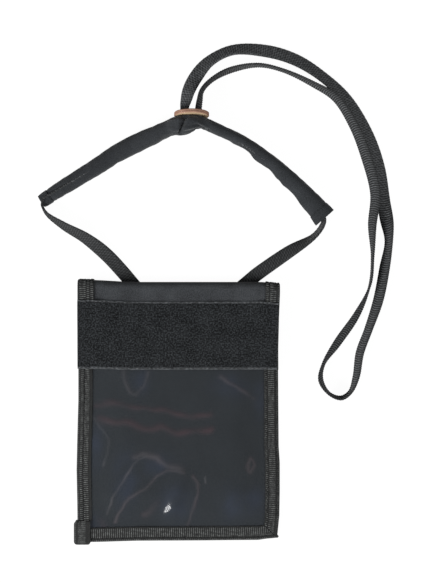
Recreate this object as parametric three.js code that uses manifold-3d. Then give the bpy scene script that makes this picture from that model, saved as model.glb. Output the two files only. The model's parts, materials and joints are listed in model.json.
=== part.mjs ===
// Neck pouch wallet: a flat fabric pouch with a clear window and a fold-over flap,
// hung from one long flat strap that runs through a neck sleeve and a sliding disc.
// Millimetres. The pouch lies face up: +X across it, +Y towards the strap, +Z out of its front.
// The origin is under the middle of the pouch, on the surface that it lies on.

import * as THREE from 'three';
import { mergeVertices } from 'three/addons/utils/BufferGeometryUtils.js';
import Module from 'manifold-3d';

const wasm = await Module();
wasm.setup();

// ---------- driving dimensions ----------

const pouchWidth = 148;
const pouchHeight = 192.2;
const cornerFoldStandsLeft = 3.2; // the left binding's folded end passes the pouch's outline
const cornerFoldStandsDown = 2.4;
const flapDrop = 64.7; // from the top fold down to the flap's free edge

const bindingWidth = 10.7;
const flapBindingLeftWidth = 12.2;
const tapeThickness = 0.8; // woven binding tape
const fabricThickness = 0.6; // shell fabric with its lining
const vinylThickness = 0.4;
const hookLoopThickness = 1.2;
const hookThickness = 1.0;
const gap = 0.3; // between pieces that are sewn or lie together

const loopFieldHeight = 50; // standard 50 mm tape on the flap's face
const closureTapeHeight = 25; // standard 25 mm tape under the flap
const compartmentDepth = 4.5;

const strapWidth = 10;
const strapEndThickness = 1.0;
const strapRadius = 2.25; // a round tube with the section area of the flat 10 x 1.6 mm braid
const strapSides = 8;

const sleeveRadius = 4.8;
const sleeveBore = 3.3;
const sleeveSides = 12;

const discRadius = 12.7;
const discThickness = 3;
const discLean = THREE.MathUtils.degToRad(8); // its top leans away from the pouch
const discHoleRadius = 3.05;
const strandSpacing = 10;

// ---------- places worked out from them ----------

const left = -(pouchWidth + cornerFoldStandsLeft) / 2 + cornerFoldStandsLeft;
const right = left + pouchWidth;
const bottom = -(pouchHeight + cornerFoldStandsDown) / 2 + cornerFoldStandsDown;
const top = bottom + pouchHeight;

const wall = tapeThickness + gap; // from a bound edge in to the panel that it binds
const panelLeft = left + wall;
const panelRight = right - wall;
const panelBottom = bottom + wall;

const backZ = strapEndThickness + gap;
const frontZ = backZ + fabricThickness + compartmentDepth;
const windowZ = frontZ + fabricThickness + gap;
const bodyBindingTop = windowZ + vinylThickness + 0.2 + tapeThickness;
const flapHookZ = windowZ + hookLoopThickness + 0.4;
const flapZ = flapHookZ + hookThickness + gap;
const flapBindingLow = flapZ - gap - tapeThickness;
const flapBindingTop = flapZ + fabricThickness + gap + tapeThickness;
const loopFieldZ = flapBindingTop + gap;

// The fold at the top is a half ring from the back panel round to the flap.
const foldRadius = (flapZ + fabricThickness - backZ) / 2;
const foldY = top - foldRadius;
const foldZ = backZ + foldRadius;
const foldSteps = 16;

const flapEdge = top - flapDrop;
const mouthY = top - 11.3; // the front panel's free edge, the mouth of the compartment
const windowTop = flapEdge + 4;
const closureBottom = windowTop + 0.5;

const discCentre = new THREE.Vector3(
  11,
  217,
  discRadius * Math.cos(discLean) + (discThickness / 2) * Math.sin(discLean),
);
const strandHeading = new THREE.Vector3(0.13, 0.9915, 0).normalize();

// ---------- materials ----------

function fabric(color, roughness = 0.95) {
  return new THREE.MeshStandardMaterial({ color, roughness, metalness: 0 });
}

const shellFabric = fabric(0x3d4043);
const bindingTape = fabric(0x3a3c3c);
const loopTape = fabric(0x292b2d, 1);
const hookTape = fabric(0x2b2d2f, 0.8);
const windowVinyl = fabric(0x3d4148, 0.15);
const strapBraid = fabric(0x35373a);
const sleeveFabric = fabric(0x303336);
const sliderLeather = fabric(0xa1806c, 0.7);

// ---------- shape helpers ----------

const object = new THREE.Group();

function add(name, geometry, material) {
  const mesh = new THREE.Mesh(geometry, material);
  mesh.name = name;
  object.add(mesh);
  return mesh;
}

// A flat panel between two corners and two heights.
function panel(name, material, [x0, x1], [y0, y1], z, thickness) {
  const mesh = add(name, new THREE.BoxGeometry(x1 - x0, y1 - y0, thickness), material);
  mesh.position.set((x0 + x1) / 2, (y0 + y1) / 2, z + thickness / 2);
  return mesh;
}

function shapeOf(points) {
  return new THREE.Shape(points.map(([x, y]) => new THREE.Vector2(x, y)));
}

// An upright prism over an outline in X and Y.
function prism(points, z0, z1) {
  const geometry = new THREE.ExtrudeGeometry(shapeOf(points), { depth: z1 - z0, bevelEnabled: false });
  return geometry.translate(0, 0, z0);
}

// Tape folded over an edge: a U section whose closed side is the outer edge.
// start is the closed side's lowest corner, and across points in from the edge.
function channel(start, across, length, width, height, upperThickness = tapeThickness) {
  const section = shapeOf([
    [0, 0],
    [width, 0],
    [width, tapeThickness],
    [tapeThickness, tapeThickness],
    [tapeThickness, height - upperThickness],
    [width, height - upperThickness],
    [width, height],
    [0, height],
  ]);
  const up = new THREE.Vector3(0, 0, 1);
  const along = new THREE.Vector3().crossVectors(across, up);
  const placed = new THREE.Matrix4().makeBasis(across, up, along).setPosition(start);
  return new THREE.ExtrudeGeometry(section, { depth: length, bevelEnabled: false }).applyMatrix4(placed);
}

const inFromLeft = new THREE.Vector3(1, 0, 0); // its tape runs towards -Y
const inFromRight = new THREE.Vector3(-1, 0, 0); // its tape runs towards +Y
const inFromBottom = new THREE.Vector3(0, 1, 0); // its tape runs towards +X

function regularSection(radius, sides) {
  const points = [];
  for (let i = 0; i < sides; i += 1) {
    const angle = (2 * Math.PI * (i + 0.5)) / sides;
    points.push([radius * Math.cos(angle), radius * Math.sin(angle)]);
  }
  return shapeOf(points);
}

// A smooth line through hand-placed points, stepped from one point to the next.
class Route extends THREE.CatmullRomCurve3 {
  constructor(points) {
    super(points.map((p) => new THREE.Vector3(...p)), false, 'centripetal');
  }

  getPointAt(share, target) {
    return this.getPoint(share, target);
  }

  getTangentAt(share, target) {
    return this.getTangent(share, target);
  }
}

function tube(points, radius, sides) {
  return new THREE.ExtrudeGeometry(regularSection(radius, sides), {
    extrudePath: new Route(points),
    steps: points.length - 1,
    bevelEnabled: false,
  });
}

function solidOf(geometry) {
  const bare = geometry.clone();
  bare.deleteAttribute('normal');
  bare.deleteAttribute('uv');
  const merged = mergeVertices(bare, 1e-4);
  return new wasm.Manifold(new wasm.Mesh({
    numProp: 3,
    vertProperties: merged.attributes.position.array,
    triVerts: new Uint32Array(merged.index.array),
  }));
}

function geometryOf(solid) {
  const mesh = solid.getMesh();
  const geometry = new THREE.BufferGeometry();
  geometry.setAttribute('position', new THREE.BufferAttribute(mesh.vertProperties, mesh.numProp));
  geometry.setIndex(new THREE.BufferAttribute(mesh.triVerts, 1));
  geometry.computeVertexNormals();
  return geometry;
}

function cut(geometry, ...tools) {
  let solid = solidOf(geometry);
  for (const tool of tools) {
    solid = solid.subtract(solidOf(tool));
  }
  return geometryOf(solid);
}

// ---------- pouch ----------

panel('back_panel', shellFabric, [panelLeft, panelRight], [panelBottom, foldY - gap], backZ, fabricThickness);
panel('front_panel', shellFabric, [panelLeft, panelRight], [panelBottom, mouthY], frontZ, fabricThickness);
panel('id_window', windowVinyl, [panelLeft, panelRight], [panelBottom, windowTop], windowZ, vinylThickness);

const closureSides = [left + 13.5, right - 13.5];
panel(
  'closure_loop_tape',
  loopTape,
  closureSides,
  [closureBottom, closureBottom + closureTapeHeight],
  windowZ,
  hookLoopThickness,
);

// The two ends of the bottom edge: a folded tape end on the left and a mitre on the right.
const cornerFoldWidth = 12.3;
const cornerFoldLength = 18.1;
const cornerFoldTop = bottom - cornerFoldStandsDown + cornerFoldLength;

function mitreCutter(side) {
  const reach = bindingWidth + 3;
  const shift = (side * gap) / 2;
  const low = [right + 3 + shift, bottom - 3 + shift];
  const high = [right - reach + shift, bottom + reach + shift];
  const far = side > 0 ? [high[0], low[1]] : [low[0], high[1]];
  return prism(side > 0 ? [low, high, far] : [low, far, high], -1, bodyBindingTop + 1);
}

const bindingTopY = foldY - 0.6;
add(
  'side_binding_left',
  channel(
    new THREE.Vector3(left, bindingTopY, 0),
    inFromLeft,
    bindingTopY - cornerFoldTop - gap,
    bindingWidth,
    bodyBindingTop,
  ),
  bindingTape,
);
add(
  'side_binding_right',
  cut(
    channel(
      new THREE.Vector3(right, bottom, 0),
      inFromRight,
      bindingTopY - bottom,
      bindingWidth,
      bodyBindingTop,
    ),
    mitreCutter(1),
  ),
  bindingTape,
);
const cornerFoldRight = left - cornerFoldStandsLeft + cornerFoldWidth;
add(
  'bottom_binding',
  cut(
    channel(
      new THREE.Vector3(cornerFoldRight + gap, bottom, 0),
      inFromBottom,
      right - cornerFoldRight - gap,
      bindingWidth,
      bodyBindingTop,
    ),
    mitreCutter(-1),
  ),
  bindingTape,
);
add(
  'binding_corner_fold',
  channel(
    new THREE.Vector3(left - cornerFoldStandsLeft, cornerFoldTop, 0),
    inFromLeft,
    cornerFoldLength,
    cornerFoldWidth,
    bodyBindingTop + tapeThickness,
    2 * tapeThickness,
  ),
  bindingTape,
);

// ---------- flap ----------

panel('flap_panel', shellFabric, [panelLeft, panelRight], [flapEdge + gap, foldY - gap], flapZ, fabricThickness);
panel(
  'flap_hook_tape',
  hookTape,
  closureSides,
  [closureBottom, closureBottom + closureTapeHeight],
  flapHookZ,
  hookThickness,
);
panel(
  'flap_loop_tape',
  loopTape,
  [left + 0.2, right - 1],
  [flapEdge, flapEdge + loopFieldHeight],
  loopFieldZ,
  hookLoopThickness,
);

const flapBindingHeight = flapBindingTop - flapBindingLow;
const flapSideLength = foldY - gap - flapEdge;
add(
  'flap_binding_left',
  channel(
    new THREE.Vector3(left, foldY - gap, flapBindingLow),
    inFromLeft,
    flapSideLength,
    flapBindingLeftWidth,
    flapBindingHeight,
  ),
  bindingTape,
);
add(
  'flap_binding_right',
  channel(
    new THREE.Vector3(right, flapEdge, flapBindingLow),
    inFromRight,
    flapSideLength,
    bindingWidth,
    flapBindingHeight,
  ),
  bindingTape,
);

// ---------- fold over the top ----------

// Half a ring about the fold's own line, open towards the pouch.
function halfRing(x0, x1, thickness) {
  const outline = [];
  for (const radius of [foldRadius, foldRadius - thickness]) {
    for (let i = 0; i <= foldSteps; i += 1) {
      const share = radius === foldRadius ? i / foldSteps : 1 - i / foldSteps;
      const angle = Math.PI * (share - 0.5);
      outline.push([foldY + radius * Math.cos(angle), foldZ + radius * Math.sin(angle)]);
    }
  }
  const placed = new THREE.Matrix4().makeBasis(
    new THREE.Vector3(0, 1, 0),
    new THREE.Vector3(0, 0, 1),
    new THREE.Vector3(1, 0, 0),
  );
  placed.setPosition(x0, 0, 0);
  return new THREE.ExtrudeGeometry(shapeOf(outline), { depth: x1 - x0, bevelEnabled: false })
    .applyMatrix4(placed);
}

const foldShellLeft = left + flapBindingLeftWidth;
const foldShellRight = right - bindingWidth;
add('flap_fold', halfRing(foldShellLeft, foldShellRight, fabricThickness), shellFabric);
add('fold_binding_left', halfRing(left, foldShellLeft - gap, tapeThickness), bindingTape);
add('fold_binding_right', halfRing(foldShellRight + gap, right, tapeThickness), bindingTape);

// ---------- strap ----------

// Where a strap end leaves the top edge, its heading there, and how far its flat sewn end reaches.
const strapEndInside = 19;
const strapEndOutside = 5;
const strapMeets = strapEndOutside + 0.5;

function strapEnd(name, edgeX, degrees) {
  const mesh = add(
    name,
    new THREE.BoxGeometry(strapEndInside + strapEndOutside, strapWidth, strapEndThickness),
    strapBraid,
  );
  const heading = THREE.MathUtils.degToRad(degrees);
  const middle = (strapEndOutside - strapEndInside) / 2;
  mesh.rotation.z = heading;
  mesh.position.set(
    edgeX + middle * Math.cos(heading),
    top + middle * Math.sin(heading),
    strapEndThickness / 2,
  );
  return [
    edgeX + strapMeets * Math.cos(heading),
    top + strapMeets * Math.sin(heading),
    strapRadius + 0.05,
  ];
}

const strapStart = strapEnd('strap_end_left', -35.3, 130);
const strapFinish = strapEnd('strap_end_right', 54.4, 40);

// A point on one of the two strands that pass through the disc, that far past the disc.
function onStrand(side, past) {
  const point = discCentre.clone().addScaledVector(strandHeading, past);
  return [point.x + (side * strandSpacing) / 2, point.y, point.z];
}

// The strap's left run: up the left tail and through the sleeve's left arm.
const leftTail = [
  strapStart,
  [-51.4, 115.0, 2.3],
  [-66.8, 127.4, 2.5],
  [-83.6, 137.0, 3.4],
  [-95.6, 145.8, 4.8],
  [-98.4, 151.8, 5.0],
];
const leftArm = [
  [-95.8, 157.0, 5.0],
  [-90.5, 160.4, 5.0],
  [-75.3, 169.9, 5.0],
  [-52.7, 183.5, 5.0],
  [-31.2, 195.4, 5.2],
  [-12.0, 204.2, 6.4],
];

// Out through the disc's left hole, over the top and down to the end of the loop.
const outwardStrand = [
  onStrand(-1, -4),
  onStrand(-1, 3),
  onStrand(-1, 10),
  [9.0, 234.5, 11.6],
  [13.8, 244.5, 8.2],
  [23.5, 256.5, 5.0],
  [40.4, 265.0, 3.2],
  [65.7, 264.5, 2.6],
  [87.1, 258.0, 2.5],
  [106.5, 245.8, 2.5],
  [124.2, 229.2, 2.5],
  [139.6, 203.6, 2.5],
  [148.0, 179.8, 2.5],
  [152.1, 151.9, 2.5],
  [155.2, 127.0, 2.5],
  [152.1, 105.3, 2.5],
  [147.5, 82.0, 2.8],
  [140.2, 60.3, 3.2],
  [134.0, 43.3, 3.8],
  [131.2, 25.7, 4.6],
  [126.8, 14.6, 5.0],
  [120.2, 10.4, 5.0],
];

// Back up inside the outward strand and in through the disc's right hole.
const returningStrand = [
  [111.6, 13.6, 5.0],
  [105.4, 23.5, 5.0],
  [107.3, 35.0, 5.0],
  [117.5, 50.7, 3.8],
  [131.7, 71.3, 3.4],
  [141.4, 93.3, 4.6],
  [143.3, 114.5, 5.0],
  [143.1, 137.0, 4.2],
  [145.3, 160.0, 4.8],
  [138.3, 188.1, 5.0],
  [129.4, 210.0, 5.2],
  [116.6, 229.5, 4.8],
  [99.8, 240.0, 3.8],
  [77.6, 250.1, 3.6],
  [59.5, 253.9, 4.2],
  [38.7, 250.0, 5.6],
  [25.8, 242.8, 8.2],
  [18.6, 234.2, 11.6],
  onStrand(1, 10),
  onStrand(1, 3),
  onStrand(1, -4),
];

// Through the sleeve's right arm and down the right tail.
const rightArm = [
  [29.1, 206.9, 7.4],
  [45.1, 198.6, 5.4],
  [61.9, 187.2, 5.0],
  [77.8, 174.1, 5.0],
  [92.8, 159.2, 5.0],
  [104.6, 146.6, 5.0],
];
const rightTail = [
  [107.8, 141.4, 5.0],
  [106.4, 136.2, 4.8],
  [100.3, 128.6, 4.0],
  [81.9, 117.1, 2.8],
  strapFinish,
];

// The strap's bends between the sleeve's arms and the disc.
const outBend = [[-2.4, 208.6, 10.0]];
const backBend = [
  [17.4, 210.0, 11.6],
  [22.0, 208.9, 9.9],
];

const strapRoute = [
  ...leftTail,
  ...leftArm,
  ...outBend,
  ...outwardStrand,
  ...returningStrand,
  ...backBend,
  ...rightArm,
  ...rightTail,
];
add('neck_strap', tube(strapRoute, strapRadius, strapSides), strapBraid);

// ---------- neck sleeve ----------

// A soft tube on the strap, from the left arm to the right, with a mouth where the strap leaves it.
const sleeveMiddle = [
  [-2.0, 208.0, 9.4],
  [11.0, 209.4, 10.8],
  [22.0, 208.7, 9.6],
];
const sleeveRoute = [...leftArm, ...sleeveMiddle, ...rightArm];
const boreRoute = [leftTail.at(-1), ...sleeveRoute, rightTail[0]];
const strapClearance = strapRadius + 0.75;
add(
  'neck_sleeve',
  cut(
    tube(sleeveRoute, sleeveRadius, sleeveSides),
    tube(boreRoute, sleeveBore, sleeveSides),
    tube([leftArm.at(-2), leftArm.at(-1), ...outBend, ...outwardStrand.slice(0, 3)], strapClearance, strapSides),
    tube(
      [...returningStrand.slice(-3), ...backBend, ...rightArm.slice(0, 2)],
      strapClearance,
      strapSides,
    ),
  ),
  sleeveFabric,
);

// ---------- sliding disc ----------

// A cylinder's own axis is Y, so the disc only leans about X.
const discBody = new THREE.CylinderGeometry(discRadius, discRadius, discThickness, 48)
  .rotateX(-discLean)
  .translate(discCentre.x, discCentre.y, discCentre.z);

function strandHole(side) {
  const reach = 3 * discThickness;
  const turn = new THREE.Quaternion().setFromUnitVectors(new THREE.Vector3(0, 1, 0), strandHeading);
  return new THREE.CylinderGeometry(discHoleRadius, discHoleRadius, reach, 24)
    .applyQuaternion(turn)
    .translate(...onStrand(side, 0));
}

add('slider_disc', cut(discBody, strandHole(-1), strandHole(1)), sliderLeather);

export default object;
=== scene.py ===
"""The neck pouch wallet's finished surfaces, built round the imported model.

The helpers work in millimetres, in the model's own frame, and turn them into metres when a mesh is made.
"""

import json
import math

import bmesh
import bpy
import numpy as np
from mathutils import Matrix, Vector


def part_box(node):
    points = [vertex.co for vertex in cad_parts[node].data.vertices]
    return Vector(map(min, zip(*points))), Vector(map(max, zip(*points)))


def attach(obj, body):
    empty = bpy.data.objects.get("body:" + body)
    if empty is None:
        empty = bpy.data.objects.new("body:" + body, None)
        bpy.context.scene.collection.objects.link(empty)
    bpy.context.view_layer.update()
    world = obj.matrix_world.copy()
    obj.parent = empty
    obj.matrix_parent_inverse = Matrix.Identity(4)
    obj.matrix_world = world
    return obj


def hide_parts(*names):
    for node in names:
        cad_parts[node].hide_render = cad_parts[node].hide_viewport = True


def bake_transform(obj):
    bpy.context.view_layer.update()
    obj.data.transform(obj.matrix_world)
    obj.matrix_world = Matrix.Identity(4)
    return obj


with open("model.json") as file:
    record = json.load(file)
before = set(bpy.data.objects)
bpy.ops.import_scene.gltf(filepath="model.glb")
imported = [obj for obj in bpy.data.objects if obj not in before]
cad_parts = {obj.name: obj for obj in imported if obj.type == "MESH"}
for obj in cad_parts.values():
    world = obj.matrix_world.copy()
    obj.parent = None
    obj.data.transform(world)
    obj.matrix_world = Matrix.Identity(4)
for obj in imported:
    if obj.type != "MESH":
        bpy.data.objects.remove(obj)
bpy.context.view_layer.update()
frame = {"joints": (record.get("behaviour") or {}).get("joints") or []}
MM = 0.001


# ---------- the pouch's main sizes, from the frame ----------


def box_mm(node):
    """A CAD node's lowest and highest corner, in millimetres."""
    low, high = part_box(node)
    return np.array(low) / MM, np.array(high) / MM


side_low, side_high = box_mm("side_binding_left")
right_low, right_high = box_mm("side_binding_right")
bottom_low, bottom_high = box_mm("bottom_binding")
corner_low, corner_high = box_mm("binding_corner_fold")
flap_low, flap_high = box_mm("flap_panel")
back_low, back_high = box_mm("back_panel")
front_low, front_high = box_mm("front_panel")
window_low, window_high = box_mm("id_window")
closure_low, closure_high = box_mm("closure_loop_tape")
hook_low, hook_high = box_mm("flap_hook_tape")
field_low, field_high = box_mm("flap_loop_tape")
flap_left_low, flap_left_high = box_mm("flap_binding_left")

LEFT = side_low[0]
RIGHT = right_high[0]
BOTTOM = bottom_low[1]
BINDING = side_high[0] - LEFT
FLAP_BINDING_LEFT = flap_left_high[0] - LEFT
FLAP_EDGE = flap_left_low[1]

hinge = next(joint for joint in frame["joints"] if joint["name"] == "flap_hinge")
HINGE_Y, HINGE_Z = (value / MM for value in hinge["pos_m"][1:])
FOLD_RADIUS = flap_high[2] - HINGE_Z
TOP = HINGE_Y + FOLD_RADIUS
HINGE_GAP = HINGE_Y - flap_high[1]

SHARP_ANGLE = 66  # between two faces whose shared edge shows, in degrees

FABRIC = 0.6
TAPE = 0.7
VINYL = 0.35
RIB_PITCH = 1.47
RIB_HEIGHT = 0.42
SEWN_HEIGHT = 3.0  # the front panel's outer face where it is sewn into the binding
WINDOW_GAP = 0.3  # between the front panel and the window
CROWN = front_high[2] - SEWN_HEIGHT  # how much higher it stands in the middle


# ---------- shape helpers ----------


def smooth(t):
    """0 up to t = 0, 1 from t = 1, and a smooth rise between."""
    t = np.clip(t, 0.0, 1.0)
    return t * t * (3 - 2 * t)


def hump(t):
    """1 at t = 0, falling smoothly to nothing by about 2."""
    return np.exp(-np.square(t))


def ripple(x, y, size, seed):
    """Smooth noise, mostly from -1 to 1, whose waves are about size across."""
    draw = np.random.default_rng(seed)
    total = np.zeros(np.broadcast(x, y).shape)
    for _ in range(8):
        heading = draw.uniform(0, math.tau)
        wave = size * draw.uniform(0.6, 1.7)
        phase = draw.uniform(0, math.tau)
        total += np.sin(math.tau * (x * math.cos(heading) + y * math.sin(heading)) / wave + phase)
    return total / 4


def ridge(x, y, line, width):
    """A soft ridge 1 high along a line of (x, y) points."""
    nearest = np.full(np.broadcast(x, y).shape, 1e9)
    for (x0, y0), (x1, y1) in zip(line, line[1:]):
        dx, dy = x1 - x0, y1 - y0
        share = np.clip(((x - x0) * dx + (y - y0) * dy) / (dx * dx + dy * dy), 0, 1)
        away = np.hypot(x - x0 - share * dx, y - y0 - share * dy)
        nearest = np.minimum(nearest, away)
    return hump(nearest / width)


def grid(start, end, step):
    """Evenly spaced values from start to end, about step apart."""
    return np.linspace(start, end, max(2, round(abs(end - start) / step) + 1))


def level_grid(low, high, step):
    """The x and the y of evenly spaced points between two corners, one row for each y."""
    return np.meshgrid(grid(low[0], high[0], step), grid(low[1], high[1], step))


def spread(points):
    """Each grid row's distance from the first, and each column's, averaged over the grid."""
    rows = np.linalg.norm(np.diff(points, axis=0), axis=2).mean(axis=1)
    columns = np.linalg.norm(np.diff(points, axis=1), axis=2).mean(axis=0)
    return np.append(0, np.cumsum(rows)), np.append(0, np.cumsum(columns))


def cloth(name, outer, inner, material, slot, **marks):
    """A thin closed piece between two grids of points, each (rows, columns, 3) in millimetres.

    Its UV map is in decimetres of cloth. marks are grids of numbers over the outer face that its material
    reads as vertex attributes, such as how far a thread is raised.
    """
    rings = np.concatenate([outer, inner[:, ::-1]], axis=1)
    rows, sides = rings.shape[:2]
    i, j = np.meshgrid(np.arange(rows - 1), np.arange(sides), indexing="ij")
    j_next = (j + 1) % sides
    low, high = i * sides, (i + 1) * sides
    quads = np.stack([low + j, low + j_next, high + j_next, high + j], axis=-1)
    columns = np.stack([j, j + 1, j + 1, j], axis=-1)
    lines = np.stack([i, i, i + 1, i + 1], axis=-1)

    along, across = spread(outer)
    width = across[-1]
    round_ring = np.concatenate([across, 2 * width - across[::-1] + 1, [2 * width + 2]])
    uv = np.stack([round_ring[columns], along[lines]], axis=-1).reshape(-1, 2) * 0.01

    k = np.arange(sides // 2 - 1)
    ladder = np.stack([k, k + 1, sides - 2 - k, sides - 1 - k], axis=-1)
    past_middle = ladder > k[:, None] + 1
    cap_uv = np.stack([round_ring[np.minimum(ladder, sides - 1 - ladder)], 0.5 * past_middle], axis=-1)
    ends = [ladder[:, ::-1], ladder + (rows - 1) * sides]
    faces = np.concatenate([quads.reshape(-1, 4), *ends])
    uv = np.concatenate([uv, cap_uv[:, ::-1].reshape(-1, 2) * 0.01, cap_uv.reshape(-1, 2) * 0.01])

    mesh = bpy.data.meshes.new(name)
    mesh.from_pydata((rings.reshape(-1, 3) * MM).tolist(), [], faces.tolist())
    mesh.uv_layers.new(name="cloth").data.foreach_set("uv", uv.astype(np.float32).ravel())
    for mark, values in marks.items():
        both = np.concatenate([values, values[:, ::-1]], axis=1).astype(np.float32)
        mesh.attributes.new(mark, "FLOAT", "POINT").data.foreach_set("value", both.ravel())
    return finish_piece(name, mesh, material)


def finish_piece(name, mesh, material):
    """Turns every face outwards, and makes the object with its material."""
    work = bmesh.new()
    work.from_mesh(mesh)
    bmesh.ops.recalc_face_normals(work, faces=work.faces)
    work.to_mesh(mesh)
    work.free()
    mesh.shade_smooth()
    mesh.set_sharp_from_angle(angle=math.radians(SHARP_ANGLE))
    piece = bpy.data.objects.new(name, mesh)
    bpy.context.scene.collection.objects.link(piece)
    piece.data.materials.append(material)
    return piece


def stack(x, y, z):
    return np.stack(np.broadcast_arrays(x, y, z), axis=-1).astype(float)


# The pouch isn't a true rectangle. These are (y, move along X) for its sides, and (share of its width,
# move along Y) for its bottom.
LEFT_WANDERS = ((-95, -0.5), (-65, -0.8), (-42, -1.3), (-12, -0.6), (9, 0.0), (98, 0.0))
RIGHT_WANDERS = (
    (-94.9, -1.2), (-93.6, -0.8), (-92.4, -1.7), (-78, -0.3), (-60, 0.0),
    (-38, 0.0), (-25, -0.8), (48, -1.3), (72, -0.8), (90, -0.1),
)
BOTTOM_WANDERS = ((0.0, -0.6), (0.1, -0.6), (0.3, 0.3), (0.6, 0.5), (0.9, 0.9), (0.94, 1.8), (1.0, 2.6))


def pouch_point(x, y, z):
    """A point of the flat pouch, moved by the wander of its edges."""
    share_x = (x - LEFT) / (RIGHT - LEFT)
    share_y = (y - BOTTOM) / (TOP - BOTTOM)
    left_move = np.interp(y, *zip(*LEFT_WANDERS))
    right_move = np.interp(y, *zip(*RIGHT_WANDERS))
    top_move = -0.5 - 1.5 * smooth((share_x - 0.05) / 0.25) - 1.3 * smooth((share_x - 0.9) / 0.1)
    bottom_move = np.interp(share_x, *zip(*BOTTOM_WANDERS))
    moved_x = x + left_move + (right_move - left_move) * share_x
    moved_y = y + bottom_move + (top_move - bottom_move) * share_y
    return stack(moved_x, moved_y, z)


def front_height(x, y):
    """The front panel's outer face: sewn low at the sides and bottom, fuller in the middle."""
    from_side = np.minimum(x - LEFT, RIGHT - x) - 0.7 * BINDING
    from_bottom = y - BOTTOM - 0.7 * BINDING
    fullness = smooth(from_side / 30) * smooth(from_bottom / 30)
    return SEWN_HEIGHT + CROWN * fullness + 0.12 * ripple(x, y, 34, 3) * fullness


def flap_sag(x, y):
    """How far the closed flap hangs below its height at the fold."""
    share = (HINGE_Y - y) / (HINGE_Y - FLAP_EDGE)
    middle = (LEFT + RIGHT) / 2
    to_side = smooth((np.abs(x - middle) - 52) / 22)
    return smooth(share * 0.9) * (0.5 + 2.0 * to_side)


def flap_point(x, y, z):
    return pouch_point(x, y, z - flap_sag(x, y))


# ---------- materials ----------


WAVES_PER_MM = 31.4  # the wave texture's scale for one wave each millimetre


class Look:
    """A material: one Principled shader and the nodes that feed it."""

    def __init__(self, name, **sockets):
        self.material = bpy.data.materials.new(name)
        self.material.use_nodes = True
        self.tree = self.material.node_tree
        self.shader = self.tree.nodes["Principled BSDF"]
        for socket, value in sockets.items():
            self.shader.inputs[socket.replace("_", " ")].default_value = value

    def node(self, kind, sockets, output=0, **settings):
        node = self.tree.nodes.new("ShaderNode" + kind)
        for setting, value in settings.items():
            setattr(node, setting, value)
        for socket, value in sockets.items():
            if isinstance(value, bpy.types.NodeSocket):
                self.tree.links.new(value, node.inputs[socket])
            else:
                node.inputs[socket].default_value = value
        return node.outputs[output]

    def place(self):
        """Where on the cloth, in decimetres."""
        return self.node("TexCoord", {}, output="UV")

    def noise(self, scale, low, high, detail=2.0, stretch=(1, 1, 1)):
        """Noise spread over 0 to 1 between its values low and high."""
        where = self.node("Mapping", {"Vector": self.place(), "Scale": stretch})
        value = self.node("TexNoise", {"Vector": where, "Scale": scale, "Detail": detail})
        return self.node("MapRange", {"Value": value, "From Min": low, "From Max": high})

    def waves(self, scale, direction):
        return self.node(
            "TexWave",
            {"Vector": self.place(), "Scale": scale, "Distortion": 0.6, "Detail": 1.0, "Detail Scale": 4.0},
            output="Fac",
            bands_direction=direction,
        )

    def math(self, operation, a, b):
        return self.node("Math", {0: a, 1: b}, operation=operation)

    def mark(self, name):
        return self.node("Attribute", {}, output="Fac", attribute_name=name)

    def mix(self, share, first, second):
        """From first where share is 0 to second where it is 1, each a colour or a node's output."""
        ends = [(*end, 1) if isinstance(end, tuple) else end for end in (first, second)]
        return self.node("Mix", {0: share, 6: ends[0], 7: ends[1]}, output=2, data_type="RGBA")

    def bump(self, height, distance, strength=1.0):
        normal = self.node("Bump", {"Height": height, "Distance": distance, "Strength": strength})
        self.tree.links.new(normal, self.shader.inputs["Normal"])

    def finish(self, socket, value):
        self.tree.links.new(value, self.shader.inputs[socket])


def cloth_look(name, dark, light, thread, roughness, sheen, blotch=0.35):
    """Plain woven cloth. thread is the weave's repeat in millimetres."""
    look = Look(name, Roughness=roughness, Sheen_Weight=sheen, Sheen_Roughness=0.45, Specular_IOR_Level=0.25)
    warp = look.waves(WAVES_PER_MM / thread, "X")
    weft = look.waves(WAVES_PER_MM / thread, "Y")
    weave = look.math("MULTIPLY", warp, weft)
    speckle = look.noise(125, 0.34, 0.66)
    broad = look.noise(7, 0.3, 0.7, detail=3.0)
    share = look.math("MULTIPLY", broad, blotch)
    share = look.math("ADD", share, look.math("MULTIPLY", speckle, 0.65 - blotch / 2))
    share = look.math("ADD", share, look.math("MULTIPLY", weave, 0.25))
    look.finish("Base Color", look.mix(share, dark, light))
    look.bump(weave, 0.00008)
    return look.material


def ribbed_look(name, dark, light, roughness=0.8, sheen=0.15):
    """Ribbed tape or braid: painted highlights on its raised threads and painted shade, near black, in the
    grooves between them, with worn patches.
    """
    look = Look(name, Roughness=roughness, Sheen_Weight=sheen, Sheen_Roughness=0.4, Specular_IOR_Level=0.3)
    worn = look.noise(45, 0.35, 0.72, detail=3.0)
    fine = look.noise(300, 0.3, 0.7)
    # Painted light and shade: crests painted light as highlights, grooves painted near black as shade.
    crest_light_and_shade = look.node("MapRange", {"Value": look.mark("raised"), "From Min": 0.35, "From Max": 1.0})
    share = look.math("MULTIPLY", crest_light_and_shade, look.math("ADD", look.math("MULTIPLY", worn, 0.65), 0.35))
    share = look.math("ADD", look.math("MULTIPLY", share, 0.9), look.math("MULTIPLY", fine, 0.1))
    look.finish("Base Color", look.mix(share, dark, light))
    look.bump(look.waves(110, "X"), 0.00006)
    return look.material


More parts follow.
